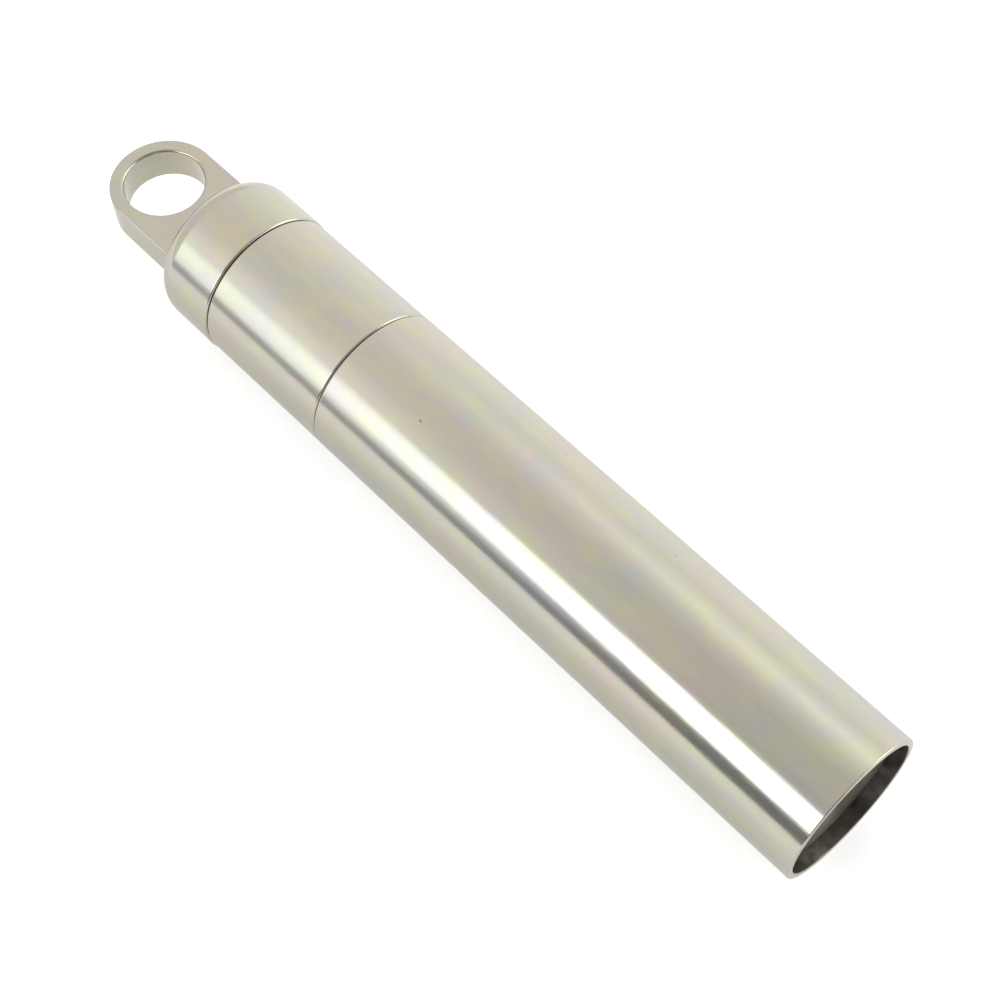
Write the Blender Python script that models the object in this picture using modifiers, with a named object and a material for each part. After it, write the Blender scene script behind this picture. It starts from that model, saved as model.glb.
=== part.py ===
"""Blind one-ring cryptex in plated steel.

It lies on its side: +X runs along the axis from the eye to the open end, +Z is up, and the
eye's flat faces are level. The origin is on the ground under the middle of the length.

Every turned piece is drawn along its own +Z and hangs from an empty at the open end that points
that +Z at the eye, so a local z is a distance from the open end, in metres.
"""

import math

import bmesh
import bpy
from mathutils import Matrix, Vector

MM = 0.001

# ---- Driving dimensions (millimetres turned into metres) ----------------------------------

SEGMENTS = 36                     # sides of every turned piece; a multiple of 4

SEAM = 0.3 * MM                   # gap between head, dial ring and barrel
FIT = 0.3 * MM                    # gap between two pieces that are fixed together
RUN = 0.3 * MM                    # gap between two pieces that move on each other
OVERTRAVEL = 0.1 * MM             # room behind a detent ball pushed right in

# Outside
BARREL_R = 15.0 * MM
BARREL_LENGTH = 115.2 * MM
BARREL_WALL = 1.3 * MM
BARREL_END_WALL = 1.0 * MM        # thinner wall around the sleeve's flange
RING_STEP = 0.05 * MM             # how far the dial ring lies under the barrel's surface
RING_LENGTH = 29.95 * MM
HEAD_STEP = 0.15 * MM             # how far the head stands over the barrel's surface
HEAD_SKIRT = 10.8 * MM            # straight part of the head, before the shoulder
SHOULDER_ROUND = 4.7 * MM         # rounding of the head's shoulder
SHOULDER_DEG = 62.0               # how far that rounding turns before the cone starts
CONE_TIP_R = 3.0 * MM             # flat left at the cone's top, inside the eye's root
SEAM_EDGE = 0.2 * MM              # chamfer on the edges that face each other at a seam
LIP_EDGE = 0.6 * MM               # chamfer on the open end's outer edge

# Eye
EYE_FROM_SEAM = 30.8 * MM         # head's lower edge to the middle of the hole
EYE_R = 10.65 * MM
EYE_THICKNESS = 7.3 * MM
EYE_HOLE_R = 7.87 * MM
EYE_CHAMFER = 0.4 * MM

# Closed end
PLUG_RECESS = 2.7 * MM            # lip to plug face
PLUG_THICKNESS = 4.2 * MM
SEAL_WIRE_R = 0.6 * MM            # O-ring section radius, shown seated in its groove

# Barrel's inner shoulder and the guide sleeve
SHOULDER_LENGTH = 5.0 * MM
FLANGE_LENGTH = 10.8 * MM
SLEEVE_BORE_R = 10.1 * MM
SLEEVE_WALL = 1.4 * MM
SLEEVE_OVERHANG = 6.2 * MM        # sleeve past the dial ring, inside the head
NUT_LENGTH = 6.5 * MM
NUT_WALL = 1.7 * MM
NUT_SLOT = 2.4 * MM               # width and depth of the four wrench slots
SLEEVE_DOWEL_R = 0.5 * MM

# Dial ring
SNAP_WIRE = 1.3 * MM              # section of the square-wire snap rings
SNAP_OFFSET = 4.0 * MM            # ring's lower face to the snap ring's groove
SNAP_GAP_DEG = 50.0
GATE_THICKNESS = 3.0 * MM
GATE_LIFT = 2.5 * MM              # key pins to the gate ring, with the core pushed home
GATE_DOWEL_R = 0.75 * MM

# Core
CORE_WALL = 1.2 * MM
CORE_START = 19.7 * MM            # lower end of the message tube
CORE_LIP = 1.5 * MM               # inward lip at the tube's upper end
CORE_LIP_WIDTH = 1.6 * MM
SOCKET_DEPTH = 4.0 * MM           # how far the tube enters its seat in the head
PIN_R = 1.5 * MM
PIN_ANGLES = (0.0, 100.0, 260.0)  # uneven, so that the ring opens at one place in a turn
PIN_OFFSET = 12.5 * MM            # ring's lower face to the key pins
PIN_REACH = 1.1 * MM              # how far the pins stand out of the sleeve
TOP_PLUG_LENGTH = 6.0 * MM
BOLT_R = 2.5 * MM                 # M5
BOLT_HEAD_R = 4.25 * MM
BOLT_HEAD_LENGTH = 5.0 * MM
BOLT_WEB = 2.5 * MM               # metal left between the bolt's hole and the eye's hole
BOLT_HEX = 4.0 * MM               # across flats
BOLT_HEX_DEPTH = 2.5 * MM
WASHER_THICKNESS = 1.0 * MM

# Stopper
STOPPER_FLANGE = 3.0 * MM
STOPPER_LENGTH = 7.3 * MM

# Detent: three spring-loaded balls in the sleeve's flange, click seats in the ring's face
DETENT_COUNT = 3
CLICKS = 12
BALL_R = 0.6 * MM
BALL_PROUD = 0.25 * MM            # how far a ball stands into its seat at rest
BALL_TRAVEL = 0.25 * MM
SEAT_R = 0.8 * MM
SEAT_DEPTH = 0.6 * MM
SPRING_COILS = 5
SPRING_WIRE_R = 0.15 * MM
SPRING_LENGTH = 5.0 * MM

# ---- Sizes that follow from them ----------------------------------------------------------

RING_R = BARREL_R - RING_STEP
HEAD_R = BARREL_R + HEAD_STEP
BARREL_BORE_R = BARREL_R - BARREL_WALL
FLANGE_BORE_R = BARREL_R - BARREL_END_WALL

RING_START = BARREL_LENGTH + SEAM
RING_END = RING_START + RING_LENGTH
HEAD_START = RING_END + SEAM
ROUND_START = HEAD_START + HEAD_SKIRT
CONE_START = ROUND_START + SHOULDER_ROUND * math.sin(math.radians(SHOULDER_DEG))
CONE_R = HEAD_R - SHOULDER_ROUND * (1 - math.cos(math.radians(SHOULDER_DEG)))
CONE_END = CONE_START + (CONE_R - CONE_TIP_R) / math.tan(math.radians(SHOULDER_DEG))
EYE_CENTRE = HEAD_START + EYE_FROM_SEAM
LENGTH = EYE_CENTRE + EYE_R
AXIS_HEIGHT = max(BARREL_R, HEAD_R)

SLEEVE_R = SLEEVE_BORE_R + SLEEVE_WALL
FLANGE_R = FLANGE_BORE_R - FIT
SLEEVE_END = RING_END + SLEEVE_OVERHANG
FLANGE_START = BARREL_LENGTH - FLANGE_LENGTH
SHOULDER_TOP = FLANGE_START - FIT
SHOULDER_START = SHOULDER_TOP - SHOULDER_LENGTH
NUT_END = SHOULDER_START - FIT
NUT_START = NUT_END - NUT_LENGTH
NUT_R = SLEEVE_R + FIT + NUT_WALL
SLEEVE_START = NUT_START + FIT

RING_BORE_R = SLEEVE_R + RUN
SNAP_START = RING_START + SNAP_OFFSET
SNAP_END = SNAP_START + SNAP_WIRE
SNAP_INNER_R = SLEEVE_R - SNAP_WIRE / 2 + FIT / 2
SNAP_OUTER_R = SNAP_INNER_R + SNAP_WIRE

CORE_R = SLEEVE_BORE_R - RUN
CORE_BORE_R = CORE_R - CORE_WALL
CORE_LIP_BORE_R = CORE_BORE_R - CORE_LIP_WIDTH
PIN_Z = RING_START + PIN_OFFSET
PIN_TIP_R = SLEEVE_R + PIN_REACH
PIN_ROOM_R = PIN_TIP_R + RUN
BUSH_R = PIN_ROOM_R - FIT
BUSH_START = SNAP_END + 3 * FIT
BUSH_END = PIN_Z - PIN_R - 3 * RUN
GATE_START = PIN_Z + PIN_R + GATE_LIFT
GATE_END = GATE_START + GATE_THICKNESS
GATE_R = PIN_ROOM_R + SNAP_WIRE / 3
GATE_BORE_R = SLEEVE_R + RUN
GATE_SEAT_R = GATE_R + FIT
GATE_SNAP_START = GATE_END + FIT
GATE_SNAP_END = GATE_SNAP_START + SNAP_WIRE / 2
GATE_SNAP_GROOVE_R = GATE_SEAT_R + SNAP_WIRE / 4
GATE_SNAP_R = GATE_SNAP_GROOVE_R - FIT

CAVITY_R = SLEEVE_R + RUN
CAVITY_END = SLEEVE_END + 4 * FIT
SOCKET_R = CORE_R + FIT
SOCKET_END = CAVITY_END + SOCKET_DEPTH
CORE_END = SOCKET_END - FIT
HEAD_SEAL_Z = HEAD_START + SLEEVE_OVERHANG / 2
HEAD_SEAL_R = SLEEVE_R + RUN / 2 + SEAL_WIRE_R

TOP_PLUG_R = CORE_BORE_R - FIT
TOP_PLUG_SHOULDER = CORE_END - CORE_LIP - FIT
TOP_PLUG_START = CORE_END - TOP_PLUG_LENGTH
WASHER_START = TOP_PLUG_START - FIT - WASHER_THICKNESS
BOLT_HEAD_END = WASHER_START - FIT
BOLT_HEAD_START = BOLT_HEAD_END - BOLT_HEAD_LENGTH
BOLT_END = EYE_CENTRE - EYE_HOLE_R - BOLT_WEB - FIT

PLUG_R = BARREL_BORE_R - FIT
PLUG_END = PLUG_RECESS + PLUG_THICKNESS
STOPPER_SEAT = CORE_START - FIT   # top of the stopper's flange
STOPPER_END = STOPPER_SEAT + STOPPER_LENGTH
STOPPER_R = CORE_BORE_R - FIT

DETENT_R = (SLEEVE_R + FIT + FLANGE_R) / 2   # middle of the flange's standing width
BALL_Z = RING_START + BALL_PROUD - BALL_R
BALL_HOLE_R = BALL_R + 0.5 * FIT
SPRING_END = BALL_Z - BALL_R - BALL_TRAVEL - OVERTRAVEL
SPRING_START = SPRING_END - SPRING_LENGTH
SPRING_COIL_R = BALL_HOLE_R - 0.5 * FIT - SPRING_WIRE_R

SPILL = 1.0 * MM                  # how far a cutter runs past the face it cuts

# ---- Scene --------------------------------------------------------------------------------

for old in list(bpy.data.objects):
    bpy.data.objects.remove(old, do_unlink=True)

parts = bpy.data.collections.new("cryptex")
cutters = bpy.data.collections.new("cutters")
bpy.context.scene.collection.children.link(parts)
bpy.context.scene.collection.children.link(cutters)


def material(name, colour, roughness, metallic):
    """A Principled BSDF material in one plain colour."""
    made = bpy.data.materials.new(name)
    made.use_nodes = True
    shader = made.node_tree.nodes["Principled BSDF"]
    shader.inputs["Base Color"].default_value = (*colour, 1.0)
    shader.inputs["Roughness"].default_value = roughness
    shader.inputs["Metallic"].default_value = metallic
    return made


PLATED_STEEL = material("plated steel", (0.66, 0.63, 0.55), 0.25, 1.0)
BARE_STEEL = material("bare steel", (0.42, 0.41, 0.39), 0.35, 1.0)
SPRING_STEEL = material("spring steel", (0.30, 0.30, 0.31), 0.30, 1.0)
BRASS = material("brass", (0.72, 0.53, 0.24), 0.30, 1.0)
NYLON = material("nylon", (0.80, 0.78, 0.70), 0.50, 0.0)
RUBBER = material("rubber", (0.03, 0.03, 0.03), 0.80, 0.0)


def axis_empty(name):
    """An empty on the long axis at the open end, with its +Z pointing at the eye."""
    empty = bpy.data.objects.new(name, None)
    empty.location = (LENGTH / 2, 0, AXIS_HEIGHT)
    empty.rotation_euler = (0, -math.pi / 2, 0)
    parts.objects.link(empty)
    return empty


barrel_axis = axis_empty("barrel_axis")
dial_axis = axis_empty("dial_axis")
core_axis = axis_empty("core_axis")
stopper_axis = axis_empty("stopper_axis")


def place(obj, collection, parent=None, look=None):
    """Put an object in its collection, under its axis and with its material."""
    for holder in list(obj.users_collection):
        holder.objects.unlink(obj)
    collection.objects.link(obj)
    obj.parent = parent
    if look:
        obj.data.materials.clear()
        obj.data.materials.append(look)
    if collection is cutters:
        obj.hide_render = True
        obj.display_type = "WIRE"
    return obj


def smooth(obj):
    """Shade round walls smooth and keep the turned edges sharp."""
    obj.data.shade_smooth()
    obj.data.set_sharp_from_angle(angle=math.radians(30))


def turned(name, outline, collection, parent=None, look=None, steps=SEGMENTS):
    """Turn a closed outline of (radius, z) points, outer side first and from the top down.

    Radii are those of the flats, and a flat faces straight down.
    """
    grow = 1 / math.cos(math.pi / steps)
    mesh = bpy.data.meshes.new(name)
    sheet = bmesh.new()
    points = [sheet.verts.new((radius * grow, 0, z)) for radius, z in outline]
    for first, second in zip(points, points[1:]):
        sheet.edges.new((first, second))
    if outline[0][0] > 0:
        sheet.edges.new((points[-1], points[0]))
    sheet.to_mesh(mesh)
    sheet.free()
    obj = bpy.data.objects.new(name, mesh)
    parts.objects.link(obj)
    obj.rotation_euler = (0, 0, math.pi / steps)
    screw = obj.modifiers.new("turn", "SCREW")
    screw.steps = steps
    screw.render_steps = steps
    screw.use_merge_vertices = True
    screw.merge_threshold = 0.00001
    screw.use_smooth_shade = True
    return place(obj, collection, parent, look)


def tube_outline(outer_r, inner_r, bottom, top):
    """Outline of a plain tube."""
    return [(outer_r, top), (outer_r, bottom), (inner_r, bottom), (inner_r, top)]


def rod(name, radius, depth, location, direction, collection, parent=None, look=None, sides=16):
    """A cylinder whose middle is at location, along direction."""
    mesh = bpy.data.meshes.new(name)
    body = bmesh.new()
    bmesh.ops.create_cone(body, cap_ends=True, segments=sides, radius1=radius, radius2=radius,
                          depth=depth)
    body.to_mesh(mesh)
    body.free()
    obj = bpy.data.objects.new(name, mesh)
    parts.objects.link(obj)
    obj.location = location
    obj.rotation_mode = "QUATERNION"
    obj.rotation_quaternion = Vector(direction).to_track_quat("Z", "Y")
    place(obj, collection, parent, look)
    smooth(obj)
    return obj


def block(name, size, location, turn, collection, parent=None):
    """A box of the given size whose middle is at location, turned about the long axis."""
    mesh = bpy.data.meshes.new(name)
    body = bmesh.new()
    bmesh.ops.create_cube(body, size=1.0, matrix=Matrix.Diagonal((*size, 1.0)))
    body.to_mesh(mesh)
    body.free()
    obj = bpy.data.objects.new(name, mesh)
    parts.objects.link(obj)
    spin = Matrix.Rotation(turn, 4, "Z")
    obj.location = spin @ Vector(location)
    obj.rotation_euler = (0, 0, turn)
    return place(obj, collection, parent)


def boolean(obj, tool, operation="DIFFERENCE"):
    """Cut a tool from an object, or join it on."""
    step = obj.modifiers.new(tool.name, "BOOLEAN")
    step.operation = operation
    step.object = tool
    step.solver = "EXACT"


def radial(angle_deg):
    """Unit vector square to the axis, at an angle about it."""
    angle = math.radians(angle_deg)
    return Vector((math.cos(angle), math.sin(angle), 0))


# ---- Barrel -------------------------------------------------------------------------------

def barrel_tube():
    """Outer tube: lip at the open end, inner shoulder, thin wall around the flange."""
    return turned("barrel_tube", [
        (BARREL_R - SEAM_EDGE, BARREL_LENGTH),
        (BARREL_R, BARREL_LENGTH - SEAM_EDGE),
        (BARREL_R, LIP_EDGE),
        (BARREL_R - LIP_EDGE, 0),
        (BARREL_BORE_R, 0),
        (BARREL_BORE_R, SHOULDER_START),
        (SLEEVE_R + FIT, SHOULDER_START),
        (SLEEVE_R + FIT, SHOULDER_TOP),
        (FLANGE_BORE_R, SHOULDER_TOP),
        (FLANGE_BORE_R, BARREL_LENGTH),
    ], parts, barrel_axis, PLATED_STEEL)


def grooved_plug(name, bottom, top, radius, groove_z, parent, look, flange=None):
    """A round plug with an O-ring groove, and a wider flange under it if one is given."""
    groove_r = radius - 2 * SEAL_WIRE_R
    half = SEAL_WIRE_R + FIT / 2
    outline = [(0, top), (radius, top), (radius, groove_z + half), (groove_r, groove_z + half),
               (groove_r, groove_z - half), (radius, groove_z - half)]
    if flange:
        flange_r, flange_length = flange
        outline += [(radius, bottom), (flange_r, bottom), (flange_r, bottom - flange_length),
                    (0, bottom - flange_length)]
    else:
        outline += [(radius, bottom), (0, bottom)]
    return turned(name, outline, parts, parent, look)


def seal(name, radius, z, parent):
    """An O-ring: a round section turned about the axis."""
    sides = 8
    outline = [(radius + SEAL_WIRE_R * math.cos(-2 * math.pi * k / sides),
                z + SEAL_WIRE_R * math.sin(-2 * math.pi * k / sides)) for k in range(sides)]
    return turned(name, outline, parts, parent, RUBBER)


def seal_radius(plug_r):
    """Radius of an O-ring's wire circle in a plug of the given radius."""
    return plug_r + FIT / 2 - SEAL_WIRE_R


def guide_sleeve():
    """Flanged sleeve with three slots, a snap ring groove and the detent holes."""
    sleeve = turned("guide_sleeve", [
        (SLEEVE_R, SLEEVE_END),
        (SLEEVE_R, SNAP_END + FIT),
        (SNAP_INNER_R - FIT, SNAP_END + FIT),
        (SNAP_INNER_R - FIT, SNAP_START - FIT),
        (SLEEVE_R, SNAP_START - FIT),
        (SLEEVE_R, BARREL_LENGTH),
        (FLANGE_R, BARREL_LENGTH),
        (FLANGE_R, FLANGE_START),
        (SLEEVE_R, FLANGE_START),
        (SLEEVE_R, SLEEVE_START),
        (SLEEVE_BORE_R, SLEEVE_START),
        (SLEEVE_BORE_R, SLEEVE_END),
    ], parts, barrel_axis, BARE_STEEL)
    slot_start = PIN_Z - PIN_R - FIT
    slot_length = SLEEVE_END + SPILL - slot_start
    for index, angle in enumerate(PIN_ANGLES, 1):
        slot = block(f"sleeve_slot_{index}", (2 * SLEEVE_WALL + SPILL, 2 * (PIN_R + FIT), slot_length),
                     (SLEEVE_BORE_R + SLEEVE_WALL / 2, 0, slot_start + slot_length / 2),
                     math.radians(angle), cutters, barrel_axis)
        boolean(sleeve, slot)
    hole_depth = BARREL_LENGTH - SPRING_START + FIT
    for index in range(DETENT_COUNT):
        hole = rod(f"detent_hole_{index + 1}", BALL_HOLE_R, hole_depth + SPILL,
                   DETENT_R * radial(detent_angle(index))
                   + Vector((0, 0, BARREL_LENGTH + SPILL / 2 - hole_depth / 2)),
                   (0, 0, 1), cutters, barrel_axis, sides=12)
        boolean(sleeve, hole)
    boolean(sleeve, sleeve_dowel_hole)
    return sleeve


def detent_angle(index):
    """Angle of a detent ball, half a click away from the first key pin."""
    return (index + 0.5) * 360.0 / DETENT_COUNT


def sleeve_lock_nut():
    """Ring nut with four wrench slots in its lower face."""
    nut = turned("sleeve_lock_nut",
                 tube_outline(NUT_R, SLEEVE_R + FIT, NUT_START, NUT_END), parts, barrel_axis, BRASS)
    for index in range(2):
        slot = block(f"nut_slot_{index + 1}", (2 * (NUT_R + SPILL), NUT_SLOT, 2 * NUT_SLOT),
                     (0, 0, NUT_START), index * math.pi / 2, cutters, barrel_axis)
        boolean(nut, slot)
    return nut


def open_ring(name, inner_r, outer_r, bottom, top, gap_deg, parent):
    """A flat-sided snap ring with a gap at angle 0."""
    ring = turned(name, tube_outline(outer_r, inner_r, bottom, top), parts, parent, SPRING_STEEL)
    gap = block(f"{name}_gap", (2 * outer_r, 2 * outer_r * math.sin(math.radians(gap_deg / 2)),
                                2 * (top - bottom)),
                (outer_r, 0, (bottom + top) / 2), 0.0, cutters, parent)
    boolean(ring, gap)
    return ring


# ---- Detents ------------------------------------------------------------------------------

def detent_ball(index):
    """One ball, with its origin at its own centre."""
    name = f"detent_ball_{index + 1}"
    mesh = bpy.data.meshes.new(name)
    body = bmesh.new()
    bmesh.ops.create_uvsphere(body, u_segments=12, v_segments=8, radius=BALL_R)
    body.to_mesh(mesh)
    body.free()
    obj = bpy.data.objects.new(name, mesh)
    parts.objects.link(obj)
    obj.location = DETENT_R * radial(detent_angle(index)) + Vector((0, 0, BALL_Z))
    place(obj, parts, barrel_axis, BARE_STEEL)
    smooth(obj)
    return obj


def detent_spring(index):
    """A small coil spring behind a ball."""
    name = f"detent_spring_{index + 1}"
    turns_z = SPRING_LENGTH - 2 * SPRING_WIRE_R
    points_per_coil = 10
    count = SPRING_COILS * points_per_coil + 1
    curve = bpy.data.curves.new(name, "CURVE")
    curve.dimensions = "3D"
    curve.bevel_depth = SPRING_WIRE_R
    curve.bevel_resolution = 1
    curve.use_fill_caps = True
    line = curve.splines.new("POLY")
    line.points.add(count - 1)
    middle = DETENT_R * radial(detent_angle(index))
    for k in range(count):
        angle = 2 * math.pi * k / points_per_coil
        line.points[k].co = (middle.x + SPRING_COIL_R * math.cos(angle),
                             middle.y + SPRING_COIL_R * math.sin(angle),
                             SPRING_START + SPRING_WIRE_R + turns_z * k / (count - 1), 1)
    obj = bpy.data.objects.new(name, curve)
    parts.objects.link(obj)
    return place(obj, parts, barrel_axis, SPRING_STEEL)


# ---- Dial ring ----------------------------------------------------------------------------

def dial_ring():
    """Plain outer ring, stepped inside for the snap ring, bush, key pins and gate ring."""
    ring = turned("dial_ring", [
        (RING_R - SEAM_EDGE, RING_END),
        (RING_R, RING_END - SEAM_EDGE),
        (RING_R, RING_START + SEAM_EDGE),
        (RING_R - SEAM_EDGE, RING_START),
        (RING_BORE_R, RING_START),
        (RING_BORE_R, SNAP_START - FIT),
        (SNAP_OUTER_R + FIT, SNAP_START - FIT),
        (SNAP_OUTER_R + FIT, SNAP_END + FIT),
        (RING_BORE_R, SNAP_END + FIT),
        (RING_BORE_R, BUSH_START - FIT),
        (PIN_ROOM_R, BUSH_START - FIT),
        (PIN_ROOM_R, GATE_START - FIT),
        (GATE_SEAT_R, GATE_START - FIT),
        (GATE_SEAT_R, GATE_SNAP_START - FIT),
        (GATE_SNAP_GROOVE_R, GATE_SNAP_START - FIT),
        (GATE_SNAP_GROOVE_R, GATE_SNAP_END + FIT),
        (GATE_SEAT_R, GATE_SNAP_END + FIT),
        (GATE_SEAT_R, RING_END),
    ], parts, dial_axis, PLATED_STEEL)
    for index in range(CLICKS):
        angle = detent_angle(0) + index * 360.0 / CLICKS
        seat = rod(f"click_seat_{index + 1}", SEAT_R, 2 * SEAT_DEPTH,
                   DETENT_R * radial(angle) + Vector((0, 0, RING_START)),
                   (0, 0, 1), cutters, dial_axis, sides=12)
        boolean(ring, seat)
    boolean(ring, gate_dowel_hole)
    return ring


def gate_ring():
    """Flat ring with one notch for each key pin."""
    gate = turned("gate_ring", tube_outline(GATE_R, GATE_BORE_R, GATE_START, GATE_END),
                  parts, dial_axis, BRASS)
    for index, angle in enumerate(PIN_ANGLES, 1):
        notch = block(f"gate_notch_{index}",
                      (2 * (PIN_TIP_R + RUN - GATE_BORE_R), 2 * (PIN_R + RUN), 3 * GATE_THICKNESS),
                      (GATE_BORE_R, 0, (GATE_START + GATE_END) / 2),
                      math.radians(angle), cutters, dial_axis)
        boolean(gate, notch)
    boolean(gate, gate_dowel_hole)
    return gate


# ---- Core ---------------------------------------------------------------------------------

def eye_head():
    """Skirt, rounded cone and eye, hollow below for the sleeve's end, the tube and the bolt."""
    steps = 6
    angles = [math.radians(SHOULDER_DEG * k / steps) for k in range(steps, -1, -1)]
    shoulder = [(HEAD_R - SHOULDER_ROUND * (1 - math.cos(angle)),
                 ROUND_START + SHOULDER_ROUND * math.sin(angle)) for angle in angles]
    half = SEAL_WIRE_R + FIT / 2
    groove_r = HEAD_SEAL_R + SEAL_WIRE_R + FIT / 2
    head = turned("eye_head", [(0, CONE_END), (CONE_TIP_R, CONE_END)] + shoulder + [
        (HEAD_R, HEAD_START + SEAM_EDGE),
        (HEAD_R - SEAM_EDGE, HEAD_START),
        (CAVITY_R, HEAD_START),
        (CAVITY_R, HEAD_SEAL_Z - half),
        (groove_r, HEAD_SEAL_Z - half),
        (groove_r, HEAD_SEAL_Z + half),
        (CAVITY_R, HEAD_SEAL_Z + half),
        (CAVITY_R, CAVITY_END),
        (SOCKET_R, CAVITY_END),
        (SOCKET_R, SOCKET_END),
        (0, SOCKET_END),
    ], parts, core_axis, PLATED_STEEL)
    neck_length = EYE_CENTRE - (ROUND_START + CONE_START) / 2
    neck = block("eye_neck", (EYE_THICKNESS, 2 * EYE_R, neck_length),
                 (0, 0, EYE_CENTRE - neck_length / 2), 0.0, cutters, core_axis)
    round_end = rod("eye_round", EYE_R, EYE_THICKNESS, (0, 0, EYE_CENTRE), (1, 0, 0),
                    cutters, core_axis, sides=SEGMENTS)
    boolean(head, neck, "UNION")
    boolean(head, round_end, "UNION")
    bolt_hole_length = BOLT_END + FIT - SOCKET_END + SPILL
    bolt_hole = rod("head_bolt_hole", BOLT_R + FIT, bolt_hole_length,
                    (0, 0, BOLT_END + FIT - bolt_hole_length / 2), (0, 0, 1),
                    cutters, core_axis, sides=24)
    boolean(head, bolt_hole)
    face = EYE_THICKNESS / 2
    hole = turned("eye_hole", [
        (0, face + EYE_CHAMFER),
        (EYE_HOLE_R + 2 * EYE_CHAMFER, face + EYE_CHAMFER),
        (EYE_HOLE_R, face - EYE_CHAMFER),
        (EYE_HOLE_R, EYE_CHAMFER - face),
        (EYE_HOLE_R + 2 * EYE_CHAMFER, -face - EYE_CHAMFER),
        (0, -face - EYE_CHAMFER),
    ], cutters, core_axis)
    hole.location = (0, 0, EYE_CENTRE)
    hole.rotation_euler = (0, math.pi / 2, 0)
    boolean(head, hole)
    return head


def core_tube():
    """Message tube with an inward lip at its upper end and three pin holes."""
    tube = turned("core_tube", [
        (CORE_R, CORE_END),
        (CORE_R, CORE_START),
        (CORE_BORE_R, CORE_START),
        (CORE_BORE_R, CORE_END - CORE_LIP),
        (CORE_LIP_BORE_R, CORE_END - CORE_LIP),
        (CORE_LIP_BORE_R, CORE_END),
    ], parts, core_axis, BARE_STEEL)
    for index, angle in enumerate(PIN_ANGLES, 1):
        hole = rod(f"pin_hole_{index}", PIN_R + FIT, 2 * CORE_WALL + SPILL,
                   (CORE_R - CORE_WALL / 2) * radial(angle) + Vector((0, 0, PIN_Z)),
                   radial(angle), cutters, core_axis)
        boolean(tube, hole)
    return tube


def key_pin(index, angle):
    """Pin pressed into the tube's wall and standing out through the sleeve's slot."""
    start = CORE_BORE_R + FIT
    return rod(f"key_pin_{index}", PIN_R, PIN_TIP_R - start,
               (start + PIN_TIP_R) / 2 * radial(angle) + Vector((0, 0, PIN_Z)),
               radial(angle), parts, core_axis, BARE_STEEL)


def core_top_plug():
    """Plug that the bolt draws up against the tube's lip."""
    nose_r = CORE_LIP_BORE_R - FIT
    return turned("core_top_plug", [
        (nose_r, CORE_END),
        (nose_r, TOP_PLUG_SHOULDER),
        (TOP_PLUG_R, TOP_PLUG_SHOULDER),
        (TOP_PLUG_R, TOP_PLUG_START),
        (BOLT_R + FIT, TOP_PLUG_START),
        (BOLT_R + FIT, CORE_END),
    ], parts, core_axis, BARE_STEEL)


def head_bolt():
    """Socket head cap screw."""
    bolt = turned("head_bolt", [
        (0, BOLT_END),
        (BOLT_R, BOLT_END),
        (BOLT_R, BOLT_HEAD_END),
        (BOLT_HEAD_R, BOLT_HEAD_END),
        (BOLT_HEAD_R, BOLT_HEAD_START),
        (0, BOLT_HEAD_START),
    ], parts, core_axis, SPRING_STEEL, steps=24)
    corner_r = BOLT_HEX / 2 / math.cos(math.pi / 6)
    socket = rod("bolt_socket", corner_r, 2 * BOLT_HEX_DEPTH, (0, 0, BOLT_HEAD_START), (0, 0, 1),
                 cutters, core_axis, sides=6)
    boolean(bolt, socket)
    return bolt


# ---- Build --------------------------------------------------------------------------------

sleeve_dowel_z = (SHOULDER_TOP + FLANGE_START) / 2
sleeve_dowel_place = DETENT_R * radial(0.0) + Vector((0, 0, sleeve_dowel_z))
sleeve_dowel_length = SHOULDER_LENGTH
sleeve_dowel_hole = rod("sleeve_dowel_hole", SLEEVE_DOWEL_R + FIT, sleeve_dowel_length + 2 * FIT,
                        sleeve_dowel_place, (0, 0, 1), cutters, barrel_axis)
gate_dowel_place = Vector((0, 0, (GATE_START + GATE_END) / 2)) + GATE_R * radial(180.0)
gate_dowel_hole = rod("gate_dowel_hole", GATE_DOWEL_R + FIT, GATE_THICKNESS + 2 * FIT,
                      gate_dowel_place, (0, 0, 1), cutters, dial_axis)

boolean(barrel_tube(), sleeve_dowel_hole)
grooved_plug("bottom_plug", PLUG_RECESS, PLUG_END, PLUG_R, (PLUG_RECESS + PLUG_END) / 2,
             barrel_axis, BARE_STEEL)
seal("bottom_plug_seal", seal_radius(PLUG_R), (PLUG_RECESS + PLUG_END) / 2, barrel_axis)
guide_sleeve()
rod("sleeve_dowel", SLEEVE_DOWEL_R, sleeve_dowel_length, sleeve_dowel_place, (0, 0, 1),
    parts, barrel_axis, BARE_STEEL)
sleeve_lock_nut()
open_ring("ring_snap_ring", SNAP_INNER_R, SNAP_OUTER_R, SNAP_START, SNAP_END, SNAP_GAP_DEG,
          barrel_axis)

for number in range(DETENT_COUNT):
    detent_ball(number)
    detent_spring(number)

dial_ring()
turned("dial_bush", tube_outline(BUSH_R, RING_BORE_R, BUSH_START, BUSH_END), parts, dial_axis,
       NYLON)
gate_ring()
rod("gate_dowel", GATE_DOWEL_R, GATE_THICKNESS, gate_dowel_place, (0, 0, 1), parts, dial_axis,
    BARE_STEEL)
open_ring("gate_snap_ring", PIN_ROOM_R, GATE_SNAP_R, GATE_SNAP_START, GATE_SNAP_END,
          SNAP_GAP_DEG, dial_axis)

eye_head()
seal("head_seal", HEAD_SEAL_R, HEAD_SEAL_Z, core_axis)
core_tube()
core_top_plug()
head_bolt()
turned("head_bolt_washer", tube_outline(BOLT_HEAD_R, BOLT_R + FIT, WASHER_START,
                                        WASHER_START + WASHER_THICKNESS),
       parts, core_axis, SPRING_STEEL, steps=24)
for number, pin_angle in enumerate(PIN_ANGLES, 1):
    key_pin(number, pin_angle)

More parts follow.
